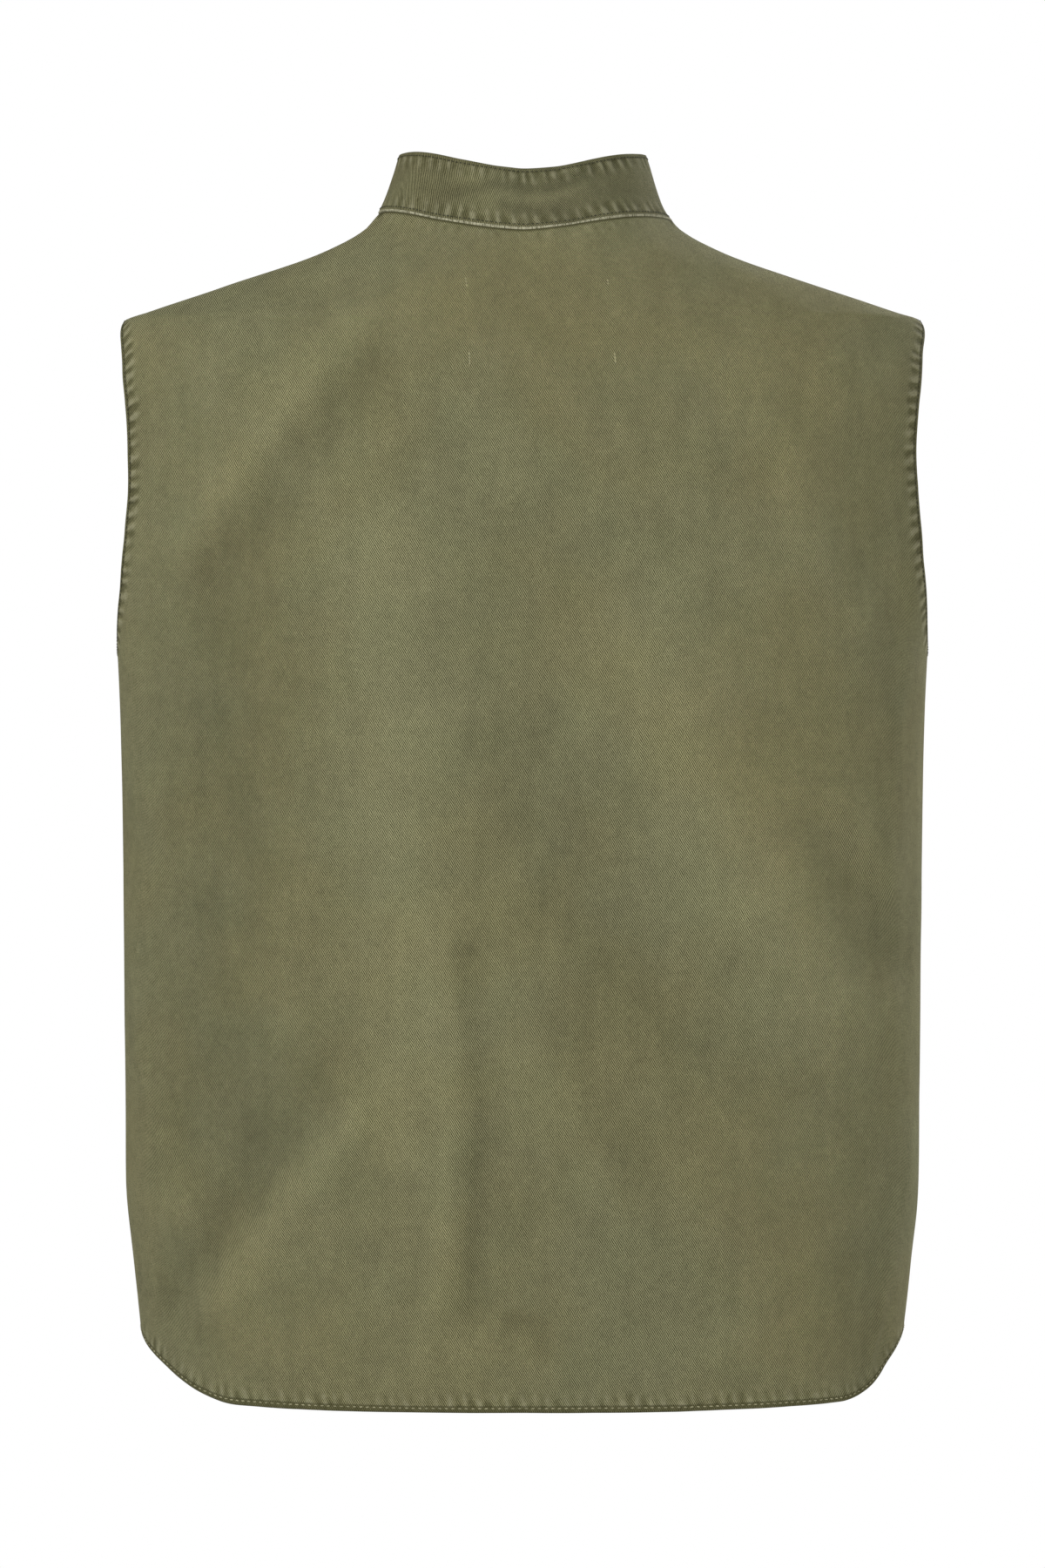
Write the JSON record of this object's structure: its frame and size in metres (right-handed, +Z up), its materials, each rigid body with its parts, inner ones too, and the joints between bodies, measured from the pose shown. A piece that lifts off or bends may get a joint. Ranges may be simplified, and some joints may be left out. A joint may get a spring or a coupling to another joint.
{
  "type": "canvas vest",
  "caption": "Sleeveless canvas vest with a stand collar, buttoned front and curved shirt-tail hem, filled out as worn but with no wearer.",
  "frame": {"origin": "midway between the two points where the shoulder seams meet the collar, where the wearer's shoulders hold the vest up", "axes": "+Z up, -Y out of the back, +Y out of the buttoned front, +X to the wearer's right"},
  "size_m": [0.4828, 0.2556, 0.735],
  "materials": {
    "canvas": "washed twill canvas, matt olive",
    "button": "satin dark brown"
  },
  "bodies": {
    "root": {"back": "canvas", "front_right": "canvas", "front_left": "canvas", "collar": "canvas", "button_collar": "button", "button_1": "button", "button_2": "button", "button_3": "button", "button_4": "button", "button_5": "button", "button_6": "button"}
  },
  "joints": []
}
